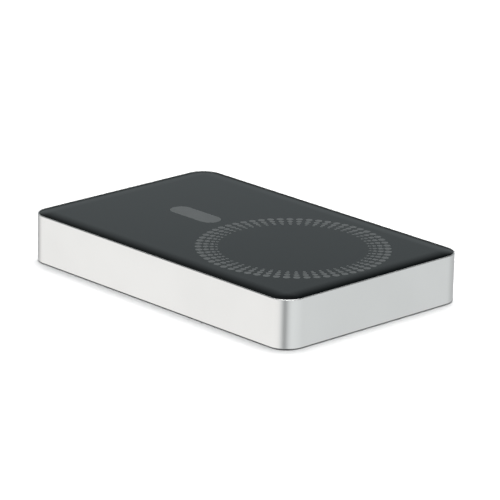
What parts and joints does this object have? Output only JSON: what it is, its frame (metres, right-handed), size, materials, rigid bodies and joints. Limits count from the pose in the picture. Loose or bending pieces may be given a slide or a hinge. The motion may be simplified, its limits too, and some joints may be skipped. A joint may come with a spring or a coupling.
{
  "type": "magnetic power bank",
  "caption": "Slim rectangular wireless power bank: a satin aluminium band between dark covers, with a magnetic charging ring, USB-C port, power button and charge lights.",
  "frame": {"origin": "middle of the base, on the surface that the power bank lies on", "axes": "+Z out of the charging face; +Y along the length, towards the end with the charging ring; +X across the width, towards the power button's side"},
  "size_m": [0.068, 0.105, 0.0144],
  "materials": {
    "band_aluminium": "satin anodised",
    "cover_plastic": "fine satin, very dark grey",
    "mark_ink": "flat grey ink",
    "adhesive_tape": "matt",
    "tray_plastic": "moulded, matt",
    "carrier_plastic": "moulded, matt",
    "backing_steel": "zinc plated",
    "magnet_nickel": "nickel plated",
    "ferrite": "matt sintered",
    "coil_copper": "enamelled wire",
    "cell_foil": "laminated foil",
    "nickel": "rolled nickel",
    "board_green": "solder mask",
    "chip_epoxy": "moulded, matt",
    "capacitor_ceramic": "matt",
    "inductor_body": "pressed powder",
    "screw_steel": "plated",
    "port_steel": "plated",
    "port_plastic": "moulded, matt",
    "contact_gold": "gold plated",
    "button_plastic": "fine satin",
    "switch_housing": "moulded, matt",
    "plunger_plastic": "moulded, matt",
    "dome_steel": "spring steel",
    "led_body": "clear resin over phosphor",
    "diffuser": "frosted",
    "lead_red": "insulation",
    "lead_black": "insulation",
    "pad_foam": "adhesive foam",
    "spreader_foil": "dark foil"
  },
  "bodies": {
    "case": {"frame": "band_aluminium", "top_cover": "cover_plastic", "ring_marks": "mark_ink", "alignment_mark": "mark_ink", "base_cover": "cover_plastic", "top_cover_tape": "adhesive_tape", "base_cover_tape": "adhesive_tape", "inner_tray": "tray_plastic", "magnet_carrier": "carrier_plastic", "magnet_backing_ring": "backing_steel", "ring_magnets": "magnet_nickel", "alignment_magnets": "magnet_nickel", "coil_shield": "ferrite", "charging_coil": "coil_copper", "coil_leads": "coil_copper", "coil_thermistor": "lead_black", "battery_cell": "cell_foil", "cell_tabs": "nickel", "cell_board": "board_green", "cell_board_chips": "chip_epoxy", "battery_lead_red": "lead_red", "battery_lead_black": "lead_black", "battery_pads": "pad_foam", "heat_spreader": "spreader_foil", "main_board": "board_green", "board_screws": "screw_steel", "board_chips": "chip_epoxy", "board_capacitors": "capacitor_ceramic", "power_inductors": "inductor_body", "usb_c_shell": "port_steel", "usb_c_tongue": "port_plastic", "usb_c_contacts": "contact_gold", "switch_body": "switch_housing", "switch_dome": "dome_steel", "indicator_leds": "led_body", "light_guide": "diffuser"},
    "button": {"power_button": "button_plastic", "switch_plunger": "plunger_plastic"}
  },
  "joints": [
    {"name": "button_press", "type": "slide", "parent": "case", "child": "button", "axis": [0, 1, 0], "range_m": [0, 0.0003], "stiffness_N_per_m": 1500, "springref_m": -0.0007}
  ]
}
